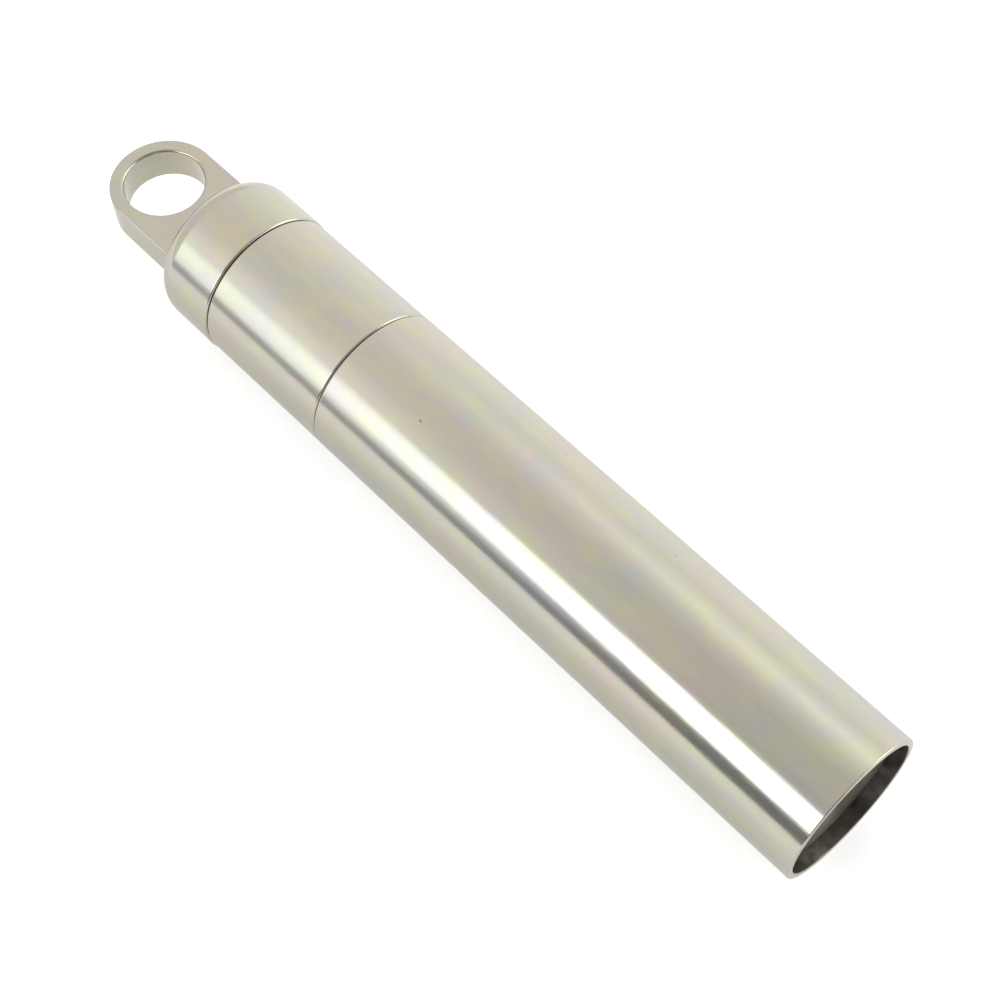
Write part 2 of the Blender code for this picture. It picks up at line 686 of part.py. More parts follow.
stopper_seal_z = (STOPPER_SEAT + STOPPER_END) / 2
grooved_plug("tube_stopper", STOPPER_SEAT, STOPPER_END, STOPPER_R, stopper_seal_z,
             stopper_axis, BRASS, flange=(CORE_R, STOPPER_FLANGE))
seal("stopper_seal", seal_radius(STOPPER_R), stopper_seal_z, stopper_axis)
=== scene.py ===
"""Looks of the blind one-ring cryptex: turned steel under a bright, clear-passivated zinc plate.

Every piece is drawn in the axis frame: its z is the distance from the open end, towards the eye,
its x points up and its y across. Lengths in the drawings are in millimetres.
"""

import math

import bmesh
import bpy
from mathutils import Matrix, Vector


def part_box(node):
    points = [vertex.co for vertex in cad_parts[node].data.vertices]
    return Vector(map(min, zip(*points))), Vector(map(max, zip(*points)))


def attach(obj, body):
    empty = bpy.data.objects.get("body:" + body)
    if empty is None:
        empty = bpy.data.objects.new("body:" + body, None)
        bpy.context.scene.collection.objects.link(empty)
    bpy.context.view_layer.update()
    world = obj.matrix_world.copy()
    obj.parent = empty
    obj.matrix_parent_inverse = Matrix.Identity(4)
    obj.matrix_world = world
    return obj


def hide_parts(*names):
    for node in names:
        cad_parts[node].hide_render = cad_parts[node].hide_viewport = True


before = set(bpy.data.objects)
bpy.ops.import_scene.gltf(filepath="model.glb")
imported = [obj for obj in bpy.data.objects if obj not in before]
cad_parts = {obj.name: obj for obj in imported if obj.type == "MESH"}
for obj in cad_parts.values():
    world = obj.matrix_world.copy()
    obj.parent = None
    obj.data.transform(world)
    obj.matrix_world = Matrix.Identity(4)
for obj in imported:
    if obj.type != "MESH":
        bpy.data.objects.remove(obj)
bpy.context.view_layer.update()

MM = 0.001
TURN_STEPS = 192                  # sides of an inside turned piece
OUTSIDE_STEPS = 256               # sides of the barrel and the ring
ARC_STEPS = 5                     # sides of a rounded corner in a drawing
SMOOTH_ANGLE = math.radians(32)   # a steeper bend is an edge

# ---- The axis frame, and sizes read from it -----------------------------------------------

barrel_low, barrel_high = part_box("barrel_tube")
AXIS_POINT = Vector((barrel_high.x, 0, (barrel_low.z + barrel_high.z) / 2))
AXIS = Matrix.Translation(AXIS_POINT) @ Matrix.Rotation(-math.pi / 2, 4, "Y")


def span(node):
    """Start, end and radius of a CAD node in the axis frame, in mm."""
    low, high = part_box(node)
    return ((AXIS_POINT.x - high.x) / MM, (AXIS_POINT.x - low.x) / MM, (high.y - low.y) / 2 / MM)


def middle(node):
    """Middle of a CAD node in the axis frame, in mm."""
    low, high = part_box(node)
    return AXIS.inverted() @ ((low + high) / 2) / MM


# ---- Sizes in mm --------------------------------------------------------------------------

FIT = 0.3                         # gap around seated pieces
SEAM_ROUND = 0.4                  # rounding of the edges at the two seams
SEAM_CLOSER = 0.18                # how much nearer the ring stands to its neighbours at each seam
LIP_ROUND = 0.3                   # outer rounding of the open end
BREAK = 0.12                      # broken edge on an inside piece
SEAL_WIRE = 0.6                   # O-ring section radius

BARREL_BORE = 13.7
SHOULDER_LENGTH = 5.0             # inner shoulder of the barrel
SLEEVE_BORE = 10.1
SLEEVE_OUTER = SLEEVE_BORE + 1.4
FLANGE_LENGTH = 10.8              # the sleeve's flange, down from the barrel's end
SNAP_SECTION = 1.3                # width of the ring's snap ring
SLOT_WIDTH = 3.6                  # slots and notches that the key pins run in
PIN_HOLE = 1.8                    # radius
SPRING_HOLE = 0.75                # radius
CORE_BORE = 8.6
CORE_LIP_BORE = 7.0
CORE_LIP = 1.5

SKIRT = 10.8                      # straight part of the head
SHOULDER_ROUND = 4.7
SHOULDER_TURN = math.radians(62)  # how far the shoulder turns before the cone starts
EYE_HALF_THICKNESS = 3.65
EYE_HALF_WIDTH = 10.65
EYE_HOLE = 7.87
EYE_HOLE_BREAK = 0.55             # rounding of the hole's edges
EYE_EDGE = 0.35                   # rounding along the eye's edges
EYE_ROOT = 2.0                    # hollow rounding where the eye meets the cone
SHOULDER_STEPS = 16               # sides of the shoulder's rounding
ROOT_STEPS = 6                    # sides of the hollow rounding

PIN_ANGLES = (0.0, 100.0, 260.0)
CLICKS = 12
CLICK_SEAT = 0.8                  # radius
CLICK_SEAT_DEPTH = 0.6


# ---- Materials ----------------------------------------------------------------------------

def linear(code):
    """Linear RGB of an sRGB hex colour."""
    values = [int(code[k:k + 2], 16) / 255 for k in (1, 3, 5)]
    return [v / 12.92 if v <= 0.04045 else ((v + 0.055) / 1.055) ** 2.4 for v in values]


def add(tree, kind, inputs=None, **settings):
    """Add a node. Settings are its properties; inputs are values, or sockets to link from."""
    made = tree.nodes.new(kind)
    for key, value in settings.items():
        setattr(made, key, value)
    for key, value in (inputs or {}).items():
        if isinstance(value, bpy.types.NodeSocket):
            tree.links.new(value, made.inputs[key])
        else:
            made.inputs[key].default_value = value
    return made


def set_ramp(ramp_node, stops, interpolation="LINEAR"):
    """Give a colour ramp its (position, linear RGB) stops."""
    ramp = ramp_node.color_ramp
    ramp.interpolation = interpolation
    while len(ramp.elements) < len(stops):
        ramp.elements.new(1.0)
    for element, (position, colour) in zip(ramp.elements, stops):
        element.position = position
        element.color = (*colour, 1.0)


def new_material(name):
    """A new material, its node tree, its shader, and the place in mm, with x along the axis."""
    made = bpy.data.materials.new(name)
    made.use_nodes = True
    tree = made.node_tree
    shader = tree.nodes["Principled BSDF"]
    place = add(tree, "ShaderNodeTexCoord")
    in_mm = add(tree, "ShaderNodeVectorMath", {0: place.outputs["Object"], "Scale": 1 / MM},
                operation="SCALE")
    return made, tree, shader, in_mm.outputs["Vector"]


def plated_steel(name, shift, cool, warm):
    """Bright zinc plate with a clear passivation film, over fine-polished turned steel.

    The film is thin enough to show faint clouds of interference colour, 2 to 8 mm long, over a
    slow drift between a cool and a warm tone. A few dark pits under half a millimetre break it.
    Polishing leaves a grain along the axis and slightly uneven gloss.
    """
    made, tree, shader, in_mm = new_material(name)
    moved = add(tree, "ShaderNodeVectorMath", {0: in_mm, 1: shift}, operation="ADD")
    drawn_out = add(tree, "ShaderNodeVectorMath", {0: moved.outputs[0], 1: (0.45, 1.0, 1.0)},
                    operation="MULTIPLY")
    clouds = add(tree, "ShaderNodeTexNoise", {"Vector": drawn_out.outputs[0], "Scale": 1 / 3.5,
                                              "Detail": 2.5, "Roughness": 0.5, "Distortion": 0.2})
    film = add(tree, "ShaderNodeValToRGB", {"Fac": clouds.outputs["Fac"]})
    set_ramp(film, [(0.30, linear("#d0c8a6")), (0.40, linear("#bdc8ad")),
                    (0.47, linear("#d4bdb1")), (0.53, linear("#b2c2b9")),
                    (0.60, linear("#d3bab5")), (0.70, linear("#b3bec4"))], "B_SPLINE")
    drift = add(tree, "ShaderNodeTexNoise", {"Vector": drawn_out.outputs[0], "Scale": 1 / 14,
                                             "Detail": 1.0})
    drift_film = add(tree, "ShaderNodeValToRGB", {"Fac": drift.outputs["Fac"]})
    set_ramp(drift_film, [(0.37, linear(cool)), (0.46, linear("#c4c5ac")),
                          (0.54, linear("#ccbfb4")), (0.63, linear(warm))], "B_SPLINE")
    tint = add(tree, "ShaderNodeMix", {"Factor": 0.5, "A": film.outputs["Color"],
                                       "B": drift_film.outputs["Color"]}, data_type="RGBA")
    pits = add(tree, "ShaderNodeTexVoronoi", {"Vector": drawn_out.outputs[0], "Scale": 1 / 8})
    pit = add(tree, "ShaderNodeMapRange", {"Value": pits.outputs["Distance"], "From Min": 0.016,
                                           "From Max": 0.028, "To Min": 0.7, "To Max": 0.0})
    specked = add(tree, "ShaderNodeMix", {"Factor": pit.outputs["Result"],
                                          "A": tint.outputs["Result"],
                                          "B": (*linear("#6e6a5e"), 1.0)}, data_type="RGBA")
    tree.links.new(specked.outputs["Result"], shader.inputs["Base Color"])

    along = add(tree, "ShaderNodeVectorMath", {0: moved.outputs[0], 1: (0.22, 3.2, 3.2)},
                operation="MULTIPLY")
    grain = add(tree, "ShaderNodeTexNoise", {"Vector": along.outputs[0], "Scale": 1.0,
                                             "Detail": 3.0, "Roughness": 0.6})
    gloss = add(tree, "ShaderNodeMapRange", {"Value": grain.outputs["Fac"], "From Min": 0.25,
                                             "From Max": 0.75, "To Min": 0.11, "To Max": 0.18})
    tree.links.new(gloss.outputs["Result"], shader.inputs["Roughness"])
    bump = add(tree, "ShaderNodeBump", {"Height": grain.outputs["Fac"], "Strength": 1.0,
                                        "Distance": 0.006 * MM})
    tree.links.new(bump.outputs["Normal"], shader.inputs["Normal"])
    shader.inputs["Metallic"].default_value = 1.0
    return made


def turned_metal(name, light, dark, roughness, ring_pitch):
    """Bare turned metal: oily, uneven darkening, and cutter rings round the axis that spread
    its highlights outward."""
    made, tree, shader, in_mm = new_material(name)
    stain = add(tree, "ShaderNodeTexNoise", {"Vector": in_mm, "Scale": 1 / 3.5, "Detail": 4.0,
                                             "Roughness": 0.6})
    colour = add(tree, "ShaderNodeValToRGB", {"Fac": stain.outputs["Fac"]})
    set_ramp(colour, [(0.35, linear(dark)), (0.65, linear(light))])
    tree.links.new(colour.outputs["Color"], shader.inputs["Base Color"])
    off_axis = add(tree, "ShaderNodeVectorMath", {0: in_mm, 1: -AXIS_POINT / MM}, operation="ADD")
    across = add(tree, "ShaderNodeVectorMath", {0: off_axis.outputs[0], 1: (0.0, 1.0, 1.0)},
                 operation="MULTIPLY")
    radius = add(tree, "ShaderNodeVectorMath", {0: across.outputs[0]}, operation="LENGTH")
    along = add(tree, "ShaderNodeSeparateXYZ", {0: in_mm})
    profile = add(tree, "ShaderNodeCombineXYZ", {"X": along.outputs["X"],
                                                 "Y": radius.outputs["Value"]})
    cut = add(tree, "ShaderNodeTexNoise", {"Vector": profile.outputs[0], "Scale": 1 / ring_pitch,
                                           "Detail": 2.0, "Roughness": 0.5})
    gloss = add(tree, "ShaderNodeMapRange", {"Value": cut.outputs["Fac"], "From Min": 0.3,
                                             "From Max": 0.7, "To Min": roughness - 0.06,
                                             "To Max": roughness + 0.08})
    tree.links.new(gloss.outputs["Result"], shader.inputs["Roughness"])
    bump = add(tree, "ShaderNodeBump", {"Height": cut.outputs["Fac"], "Strength": 1.0,
                                        "Distance": 0.002 * MM})
    tree.links.new(bump.outputs["Normal"], shader.inputs["Normal"])
    round_axis = add(tree, "ShaderNodeTangent", direction_type="RADIAL", axis="X")
    tree.links.new(round_axis.outputs["Tangent"], shader.inputs["Tangent"])
    shader.inputs["Anisotropic"].default_value = 0.9
    shader.inputs["Anisotropic Rotation"].default_value = 0.25
    shader.inputs["Metallic"].default_value = 1.0
    return made


def moulded(name, light, dark, roughness, grain_size):
    """Moulded rubber or nylon: no metal, a faint mottle and a fine matt skin."""
    made, tree, shader, in_mm = new_material(name)
    skin = add(tree, "ShaderNodeTexNoise", {"Vector": in_mm, "Scale": 1 / grain_size,
                                            "Detail": 3.0, "Roughness": 0.6})
    colour = add(tree, "ShaderNodeValToRGB", {"Fac": skin.outputs["Fac"]})
    set_ramp(colour, [(0.35, linear(dark)), (0.65, linear(light))])
    tree.links.new(colour.outputs["Color"], shader.inputs["Base Color"])
    bump = add(tree, "ShaderNodeBump", {"Height": skin.outputs["Fac"], "Strength": 0.6,
                                        "Distance": 0.01 * MM})
    tree.links.new(bump.outputs["Normal"], shader.inputs["Normal"])
    shader.inputs["Roughness"].default_value = roughness
    return made


PLATE_BARREL = plated_steel("zinc_plate_barrel", (0.0, 0.0, 0.0), "#bec0b7", "#c9c3b0")
PLATE_RING = plated_steel("zinc_plate_ring", (31.0, 5.0, 12.0), "#c4c0b7", "#ccc2b0")
PLATE_HEAD = plated_steel("zinc_plate_head", (7.0, 43.0, 25.0), "#c4c1b3", "#cac0ac")
FACED_STEEL = turned_metal("faced_steel", "#756c63", "#5f574f", 0.48, 0.2)
BORE_STEEL = turned_metal("oiled_bore_steel", "#7f7b73", "#58524a", 0.34, 0.25)
TURNED_STEEL = turned_metal("turned_steel", "#a8a59d", "#99958c", 0.28, 0.2)
BLACK_STEEL = turned_metal("blackened_steel", "#4b4a4b", "#353436", 0.36, 0.3)
TURNED_BRASS = turned_metal("turned_brass", "#cfae6b", "#b08d4c", 0.26, 0.2)
NYLON = moulded("moulded_nylon", "#ddd8c8", "#d1cbb8", 0.5, 0.8)
RUBBER = moulded("moulded_nitrile", "#232323", "#161616", 0.62, 0.3)


# ---- Shapes -------------------------------------------------------------------------------

def new_object(name, mesh):
    """An object for a mesh, in the scene."""
    obj = bpy.data.objects.new(name, mesh)
    bpy.context.scene.collection.objects.link(obj)
    return obj


def finish_piece(obj, body, nodes, materials):
    """Stand a drawn piece up in the row frame, finish it, tie it to its body and hide the CAD nodes
    it replaces.
    """
    obj.data.transform(AXIS)
    for look in materials:
        obj.data.materials.append(look)
    weighted = obj.modifiers.new("flat faces stay flat", "WEIGHTED_NORMAL")
    weighted.keep_sharp = True
    weighted.weight = 100
    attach(obj, body)
    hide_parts(*nodes)


def rounded(corners):
    """Points in mm of an outline whose corners are (radius, z) or (radius, z, rounding)."""
    points = []
    flat = [Vector(corner[:2]) for corner in corners]
    closed = flat[0].x > 0
    for index, corner in enumerate(corners):
        here = flat[index]
        rounding = corner[2] if len(corner) > 2 else 0
        if not rounding or (not closed and index in (0, len(corners) - 1)):
            points.append(here)
            continue
        back = (flat[index - 1] - here).normalized()
        ahead = (flat[(index + 1) % len(flat)] - here).normalized()
        half = back.angle(ahead) / 2
        centre = here + (back + ahead).normalized() * rounding / math.sin(half)
        start = here + back * rounding / math.tan(half) - centre
        end = here + ahead * rounding / math.tan(half) - centre
        points += [centre + rounding * start.slerp(end, k / ARC_STEPS)
                   for k in range(ARC_STEPS + 1)]
    return points


def turned_mesh(name, corners, steps=TURN_STEPS):
    """Turn an outline about the axis: outer side first, from the eye's end down."""
    points = rounded(corners)
    mesh = bpy.data.meshes.new(name)
    body = bmesh.new()
    verts = [body.verts.new((p.x * MM, 0, p.y * MM)) for p in points]
    edges = [body.edges.new(pair) for pair in zip(verts, verts[1:])]
    if points[0].x > 0:
        edges.append(body.edges.new((verts[-1], verts[0])))
    bmesh.ops.spin(body, geom=verts + edges, angle=2 * math.pi, steps=steps, axis=(0, 0, 1),
                   cent=(0, 0, 0), use_merge=True)
    bmesh.ops.remove_doubles(body, verts=body.verts, dist=0.0005 * MM)
    bmesh.ops.recalc_face_normals(body, faces=body.faces)
    body.to_mesh(mesh)
    body.free()
    mesh.shade_smooth()
    mesh.set_sharp_from_angle(angle=SMOOTH_ANGLE)
    return new_object(name, mesh)


def cut(obj, tools):
    """Cut shapes out of a piece and drop the tools."""
    for tool in tools:
        step = obj.modifiers.new("cut", "BOOLEAN")
        step.operation = "DIFFERENCE"
        step.object = tool
        step.solver = "EXACT"
    bpy.context.view_layer.update()
    evaluated = obj.evaluated_get(bpy.context.evaluated_depsgraph_get())
    shape = bpy.data.meshes.new_from_object(evaluated)
    obj.modifiers.clear()
    obj.data = shape
    for tool in tools:
        bpy.data.objects.remove(tool)
    shape.shade_smooth()
    shape.set_sharp_from_angle(angle=SMOOTH_ANGLE)


def bare_inside(obj, radius, top=math.inf, downward=math.inf):
    """Give the second, bare material to the faces inside a radius in mm, up to a height, except
    where they face down more than a limit."""
    for face in obj.data.polygons:
        mid = face.center / MM
        if math.hypot(mid.x, mid.y) < radius and mid.z < top and -face.normal.z < downward:
            face.material_index = 1


def radial(angle):
    """Unit vector square to the axis, at an angle in degrees from straight up."""
    return Vector((math.cos(math.radians(angle)), math.sin(math.radians(angle)), 0))


def rod(name, radius, start, end, steps=32, edge=0.0):
    """A round rod between two points in mm, with broken edges."""
    along = end - start
    length = along.length
    obj = turned_mesh(name, [(0, length), (radius, length, edge), (radius, 0, edge), (0, 0)], steps)
    spot = Matrix.Translation(start * MM) @ along.to_track_quat("Z", "Y").to_matrix().to_4x4()
    obj.data.transform(spot)
    return obj


def block(name, size, centre, angle):
    """A box of a size in mm, its middle at a point, both turned about the axis."""
    mesh = bpy.data.meshes.new(name)
    body = bmesh.new()
    place = Matrix.Rotation(math.radians(angle), 4, "Z") @ Matrix.Translation(Vector(centre) * MM)
    bmesh.ops.create_cube(body, size=MM, matrix=place @ Matrix.Diagonal((*size, 1.0)))
    body.to_mesh(mesh)
    body.free()
    return new_object(name, mesh)


def dowel_hole(node):
    """Cutter for a dowel's hole, a fit wider and longer than the dowel."""
    start, end, radius = span(node)
    spot = middle(node)
    return rod("tool", radius + FIT, Vector((spot.x, spot.y, start - FIT)),
               Vector((spot.x, spot.y, end + FIT)))


def pin_line(angle, start, end):
    """Ends of a radial line at the key pins' height, between two radii in mm."""
    pin_start, pin_end, _ = span("key_pin_1")
    height = Vector((0, 0, (pin_start + pin_end) / 2))
    return height + radial(angle) * start, height + radial(angle) * end


# ---- Barrel -------------------------------------------------------------------------------

def barrel():
    """Plated outer tube, thin at the lip, with an oiled bore."""
    _, end, radius = span("barrel_tube")
    _, nut_end, _ = span("sleeve_lock_nut")
    _, _, flange = span("guide_sleeve")
    shoulder_start = nut_end + FIT
    shoulder_end = shoulder_start + SHOULDER_LENGTH
    shoulder_bore = SLEEVE_OUTER + FIT
    obj = turned_mesh("barrel", [
        (radius, end, SEAM_ROUND), (radius, 0, LIP_ROUND), (BARREL_BORE, 0, 0.2),
        (BARREL_BORE, shoulder_start), (shoulder_bore, shoulder_start, BREAK),
        (shoulder_bore, shoulder_end, BREAK), (flange + FIT, shoulder_end),
        (flange + FIT, end, BREAK)], OUTSIDE_STEPS)
    cut(obj, [dowel_hole("sleeve_dowel")])
    bare_inside(obj, BARREL_BORE + 0.15, downward=0.8)
    finish_piece(obj, "barrel", ["barrel_tube"], [PLATE_BARREL, BORE_STEEL])


def end_disc():
    """Plug that closes the open end, set back behind the lip."""
    start, end, radius = span("bottom_plug")
    groove = radius - 2 * SEAL_WIRE
    seat = (start + end) / 2
    half = SEAL_WIRE + FIT / 2
    obj = turned_mesh("end_disc", [
        (0, end), (radius, end, 0.3), (radius, seat + half), (groove, seat + half),
        (groove, seat - half), (radius, seat - half), (radius, start, 0.35), (0, start)])
    finish_piece(obj, "barrel", ["bottom_plug"], [FACED_STEEL])


def o_ring(name, node, body):
    """Round-section rubber ring."""
    start, end, radius = span(node)
    wire = (end - start) / 2
    sides = 16
    corners = [(radius - wire + wire * math.cos(-2 * math.pi * k / sides),
                (start + end) / 2 + wire * math.sin(-2 * math.pi * k / sides))
               for k in range(sides)]
    finish_piece(turned_mesh(name, corners), body, [node], [RUBBER])


def sleeve():
    """Slotted guide sleeve with its flange and the detent holes."""
    start, end, flange = span("guide_sleeve")
    _, barrel_end, _ = span("barrel_tube")
    snap_start, snap_end, snap_r = span("ring_snap_ring")
    flange_start = barrel_end - FLANGE_LENGTH
    groove = snap_r - SNAP_SECTION - FIT
    obj = turned_mesh("sleeve", [
        (SLEEVE_OUTER, end, 0.3), (SLEEVE_OUTER, snap_end + FIT, BREAK),
        (groove, snap_end + FIT), (groove, snap_start - FIT),
        (SLEEVE_OUTER, snap_start - FIT, BREAK), (SLEEVE_OUTER, barrel_end),
        (flange, barrel_end, BREAK), (flange, flange_start, 0.3), (SLEEVE_OUTER, flange_start),
        (SLEEVE_OUTER, start, 0.3), (SLEEVE_BORE, start, 0.2), (SLEEVE_BORE, end, 0.3)])
    slot_start, _, _ = span("key_pin_1")
    slot_start -= FIT
    slot_length = end + 2.0 - slot_start
    tools = [block("tool", (3.8, SLOT_WIDTH, slot_length),
                   (SLEEVE_BORE + 0.7, 0, slot_start + slot_length / 2), angle)
             for angle in PIN_ANGLES] + [dowel_hole("sleeve_dowel")]
    for number in (1, 2, 3):
        ball = middle(f"detent_ball_{number}")
        spring_start, _, _ = span(f"detent_spring_{number}")
        foot = Vector((ball.x, ball.y, spring_start - FIT))
        tools.append(rod("tool", SPRING_HOLE, foot, Vector((ball.x, ball.y, barrel_end + 1.0))))
    cut(obj, tools)
    finish_piece(obj, "barrel", ["guide_sleeve"], [TURNED_STEEL])


# ---- Dial ring ----------------------------------------------------------------------------

def ring():
    """Plain plated ring, stepped inside, with twelve click seats in its lower face."""
    start, end, radius = span("dial_ring")
    snap_start, snap_end, snap_r = span("ring_snap_ring")
    bush_start, _, bush_r = span("dial_bush")
    gate_start, _, gate_r = span("gate_ring")
    clip_start, clip_end, clip_r = span("gate_snap_ring")
    bore = SLEEVE_OUTER + FIT
    obj = turned_mesh("ring", [
        (radius, end + SEAM_CLOSER, SEAM_ROUND), (radius, start - SEAM_CLOSER, SEAM_ROUND),
        (bore, start - SEAM_CLOSER, BREAK),
        (bore, snap_start - FIT), (snap_r + FIT, snap_start - FIT),
        (snap_r + FIT, snap_end + FIT), (bore, snap_end + FIT), (bore, bush_start - FIT, BREAK),
        (bush_r + FIT, bush_start - FIT), (bush_r + FIT, gate_start - FIT, BREAK),
        (gate_r + FIT, gate_start - FIT), (gate_r + FIT, clip_start - FIT),
        (clip_r + FIT, clip_start - FIT), (clip_r + FIT, clip_end + FIT),
        (gate_r + FIT, clip_end + FIT), (gate_r + FIT, end + SEAM_CLOSER, BREAK)],
        OUTSIDE_STEPS)
    ball = middle("detent_ball_1")
    below, above = Vector((0, 0, start - 1.0)), Vector((0, 0, start + CLICK_SEAT_DEPTH))
    seats = []
    for number in range(CLICKS):
        spot = Matrix.Rotation(2 * math.pi * number / CLICKS, 3, "Z") @ Vector((ball.x, ball.y, 0))
        seats.append(rod("tool", CLICK_SEAT, spot + below, spot + above))
    cut(obj, seats + [dowel_hole("gate_dowel")])
    bare_inside(obj, radius - 0.5)
    finish_piece(obj, "dial", ["dial_ring"], [PLATE_RING, TURNED_STEEL])


def gate():
    """Brass gate ring with a notch for each key pin."""
    start, end, radius = span("gate_ring")
    bore = SLEEVE_OUTER + FIT
    obj = turned_mesh("gate", [(radius, end, BREAK), (radius, start, BREAK),
                               (bore, start, BREAK), (bore, end, BREAK)])
    notches = [block("tool", (2.2, SLOT_WIDTH, 3 * (end - start)),
                     (bore, 0, (start + end) / 2), angle) for angle in PIN_ANGLES]
    cut(obj, notches + [dowel_hole("gate_dowel")])
    finish_piece(obj, "dial", ["gate_ring"], [TURNED_BRASS])


# ---- Core ---------------------------------------------------------------------------------

def eye_section(angle):
    """Radius of the eye's rounded cross-section at an angle from its mid-plane."""
    toward = Vector((math.cos(angle), math.sin(angle)))
    centre = Vector((EYE_HALF_WIDTH - EYE_EDGE, EYE_HALF_THICKNESS - EYE_EDGE))
    if toward.y * EYE_HALF_WIDTH <= toward.x * centre.y:
        return EYE_HALF_WIDTH / toward.x
    if toward.x * EYE_HALF_THICKNESS <= toward.y * centre.x:
        return EYE_HALF_THICKNESS / toward.y
    near = centre.dot(toward)
    return near + math.sqrt(near * near - centre.length_squared + EYE_EDGE ** 2)


def shoulder_line(angle, head_radius, round_start):
    """Shoulder, cone and the hollow rounding into the eye, as (radius, z) at one angle."""
    turns = [SHOULDER_TURN * k / SHOULDER_STEPS for k in range(SHOULDER_STEPS + 1)]
    points = [Vector((head_radius - SHOULDER_ROUND * (1 - math.cos(turn)),
                      round_start + SHOULDER_ROUND * math.sin(turn))) for turn in turns]
    normal = Vector((math.cos(SHOULDER_TURN), math.sin(SHOULDER_TURN)))
    touch = eye_section(angle) + EYE_ROOT * (1 - normal.x)
    rise = (points[-1].x - touch) / math.tan(SHOULDER_TURN)
    centre = Vector((touch, points[-1].y + rise)) + EYE_ROOT * normal
    return points + [centre + EYE_ROOT * (-normal).slerp(Vector((-1, 0)), k / ROOT_STEPS)
                     for k in range(ROOT_STEPS + 1)]


def grid(body, rows):
    """Join rows of vertices with quads."""
    for row, after in zip(rows, rows[1:]):
        for k in range(len(row) - 1):
            body.faces.new([row[k], row[k + 1], after[k + 1], after[k]])


def head():
    """Skirt, shoulder, cone and eye in one skin, drawn as a quarter and mirrored twice."""
    start, end, _ = span("eye_head")
    low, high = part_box("eye_head")
    radius = (high.z - low.z) / 2 / MM
    _, sleeve_end, _ = span("guide_sleeve")
    _, core_end, core_r = span("core_tube")
    seal_start, seal_end, seal_r = span("head_seal")
    _, bolt_end, _ = span("head_bolt")
    round_start = start + SKIRT
    eye_centre = end - EYE_HALF_WIDTH
    cavity = SLEEVE_OUTER + FIT
    socket_end = core_end + FIT
    inside = rounded([
        (0, bolt_end + FIT), (2.5 + FIT, bolt_end + FIT), (2.5 + FIT, socket_end, BREAK),
        (core_r + FIT, socket_end), (core_r + FIT, sleeve_end + 4 * FIT, BREAK),
        (cavity, sleeve_end + 4 * FIT), (cavity, seal_end + FIT / 2),
        (seal_r + FIT / 2, seal_end + FIT / 2), (seal_r + FIT / 2, seal_start - FIT / 2),
        (cavity, seal_start - FIT / 2), (cavity, start, 0.3), (radius, start, SEAM_ROUND),
        (radius, round_start)])

    # Angles of the rows: the eye's flank, its rounded edge and its face
    side = math.atan2(EYE_HALF_THICKNESS - EYE_EDGE, EYE_HALF_WIDTH)
    face = math.atan2(EYE_HALF_THICKNESS, EYE_HALF_WIDTH - EYE_EDGE)
    side_steps, corner_steps, face_steps = 12, 6, 48
    angles = [side * k / side_steps for k in range(side_steps)]
    angles += [side + (face - side) * k / corner_steps for k in range(corner_steps)]
    angles += [face + (math.pi / 2 - face) * k / face_steps for k in range(face_steps + 1)]
    top_edge = side_steps + corner_steps

    body = bmesh.new()

    def vert(across, up, z):
        return body.verts.new((up * MM, across * MM, z * MM))

    # Skin of turning, one row for each angle
    rows = []
    for angle in angles:
        line = inside[:-1] + shoulder_line(angle, radius, round_start)
        rows.append([vert(p.x * math.cos(angle), p.x * math.sin(angle), p.y) for p in line])
    grid(body, rows)

    # Edge of the eye, swept along the flank and round the end
    flank_steps, end_steps = 6, 40
    sweep = []
    for angle, row in zip(angles[:top_edge + 1], rows):
        section = eye_section(angle)
        across, up = section * math.cos(angle), section * math.sin(angle)
        root = row[-1].co.z / MM
        line = [row[-1]]
        for k in range(1, flank_steps):
            line.append(vert(across, up, root + (eye_centre - root) * k / flank_steps))
        for k in range(end_steps + 1):
            turn = math.pi / 2 * k / end_steps
            line.append(vert(across * math.cos(turn), up, eye_centre + across * math.sin(turn)))
        sweep.append(line)
    grid(body, sweep)

    # Hole: its rounded edge and half of its wall
    hole_steps, break_steps = 96, 6
    edge_turns = [math.pi / 2 * k / break_steps for k in range(break_steps + 1)]
    hole_line = [(EYE_HOLE + EYE_HOLE_BREAK * (1 - math.sin(turn)),
                  EYE_HALF_THICKNESS - EYE_HOLE_BREAK * (1 - math.cos(turn)))
                 for turn in edge_turns] + [(EYE_HOLE, 0)]
    hole = []
    for wall, up in hole_line:
        ring_row = []
        for k in range(hole_steps + 1):
            turn = -math.pi / 2 + math.pi * k / hole_steps
            ring_row.append(vert(wall * math.cos(turn), up, eye_centre + wall * math.sin(turn)))
        hole.append(ring_row)
    grid(body, hole)

    # Flat face of the eye, bounded by the root, the hole and the rounded edge
    root_line = [row[-1] for row in rows[top_edge:]]
    body.faces.new(root_line + hole[0] + sweep[-1][:0:-1])

    for axis in ("X", "Y"):
        everything = body.verts[:] + body.edges[:] + body.faces[:]
        bmesh.ops.mirror(body, geom=everything, axis=axis, merge_dist=0.001 * MM)
    bmesh.ops.remove_doubles(body, verts=body.verts, dist=0.0005 * MM)
    bmesh.ops.recalc_face_normals(body, faces=body.faces)
    mesh = bpy.data.meshes.new("head")
    body.to_mesh(mesh)
    body.free()
    mesh.shade_smooth()
    mesh.set_sharp_from_angle(angle=SMOOTH_ANGLE)
    obj = new_object("head", mesh)
    bare_inside(obj, radius - 0.6, top=min(socket_end + 10, round_start + 0.5))
    finish_piece(obj, "core", ["eye_head"], [PLATE_HEAD, TURNED_STEEL])


